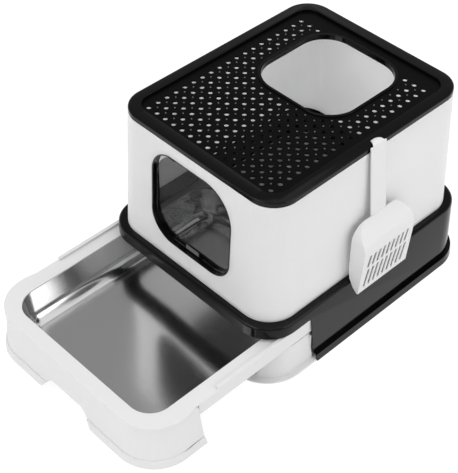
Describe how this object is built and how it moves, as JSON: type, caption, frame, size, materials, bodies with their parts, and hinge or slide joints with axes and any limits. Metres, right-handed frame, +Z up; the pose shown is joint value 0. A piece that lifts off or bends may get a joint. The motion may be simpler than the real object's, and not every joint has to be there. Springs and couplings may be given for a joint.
{
  "type": "drawer litter box",
  "caption": "Enclosed cat litter box: white hood on a black base, perforated lid with rounded top entry, smoked front flap, pull-out drawer with steel tray, hanging scoop.",
  "frame": {"origin": "on the floor, under the middle of the lid", "axes": "+Z up, -Y towards the front flap and the drawer's front, +X towards the side that carries the scoop"},
  "size_m": [0.446, 0.7825, 0.3858],
  "materials": {
    "black_gloss": "moulded, glossy black",
    "black_matte": "moulded, matt black",
    "white_gloss": "moulded, satin-gloss white",
    "grey_nylon": "self-coloured nylon",
    "rubber_black": "soft, matt",
    "smoked_clear": "polished smoked acrylic",
    "magnet_dark": "coated block",
    "screw_steel": "bright plated",
    "steel": "satin deep-drawn steel"
  },
  "bodies": {
    "base": {"base_housing": "black_gloss", "base_pan": "white_gloss", "drawer_rails": "grey_nylon", "rubber_feet": "rubber_black", "housing_screws": "screw_steel", "drawer_buffers": "rubber_black"},
    "hood": {"hood_shell": "white_gloss", "door_frame": "black_gloss", "hinge_bushes": "grey_nylon", "sill_magnet": "magnet_dark"},
    "door": {"door_flap": "smoked_clear", "hinge_rod": "screw_steel", "flap_magnet": "magnet_dark"},
    "lid": {"lid_frame": "black_gloss", "lid_deck": "black_gloss", "entry_lip": "black_gloss", "lid_clips": "black_matte"},
    "drawer": {"drawer_tub": "white_gloss", "drawer_front": "white_gloss", "front_screws": "screw_steel", "glide_pads": "grey_nylon", "drawer_rim": "white_gloss", "rim_clips": "black_matte", "steel_tray": "steel"},
    "scoop": {"scoop": "white_gloss"}
  },
  "joints": [
    {"name": "drawer_slide", "type": "slide", "parent": "base", "child": "drawer", "axis": [0, 1, 0], "range_m": [0, 0.254]},
    {"name": "hood_lift", "type": "slide", "parent": "base", "child": "hood", "axis": [0, 0, 1], "range_m": [0, 0.15]},
    {"name": "door_swing", "type": "hinge", "parent": "hood", "child": "door", "pos_m": [0.001, -0.22, 0.3411], "axis": [1, 0, 0], "range_deg": [-65, 65]},
    {"name": "lid_lift", "type": "slide", "parent": "hood", "child": "lid", "axis": [0, 0, 1], "range_m": [0, 0.12]},
    {"name": "scoop_lift", "type": "slide", "parent": "lid", "child": "scoop", "axis": [0, 0, 1], "range_m": [0, 0.15]}
  ]
}
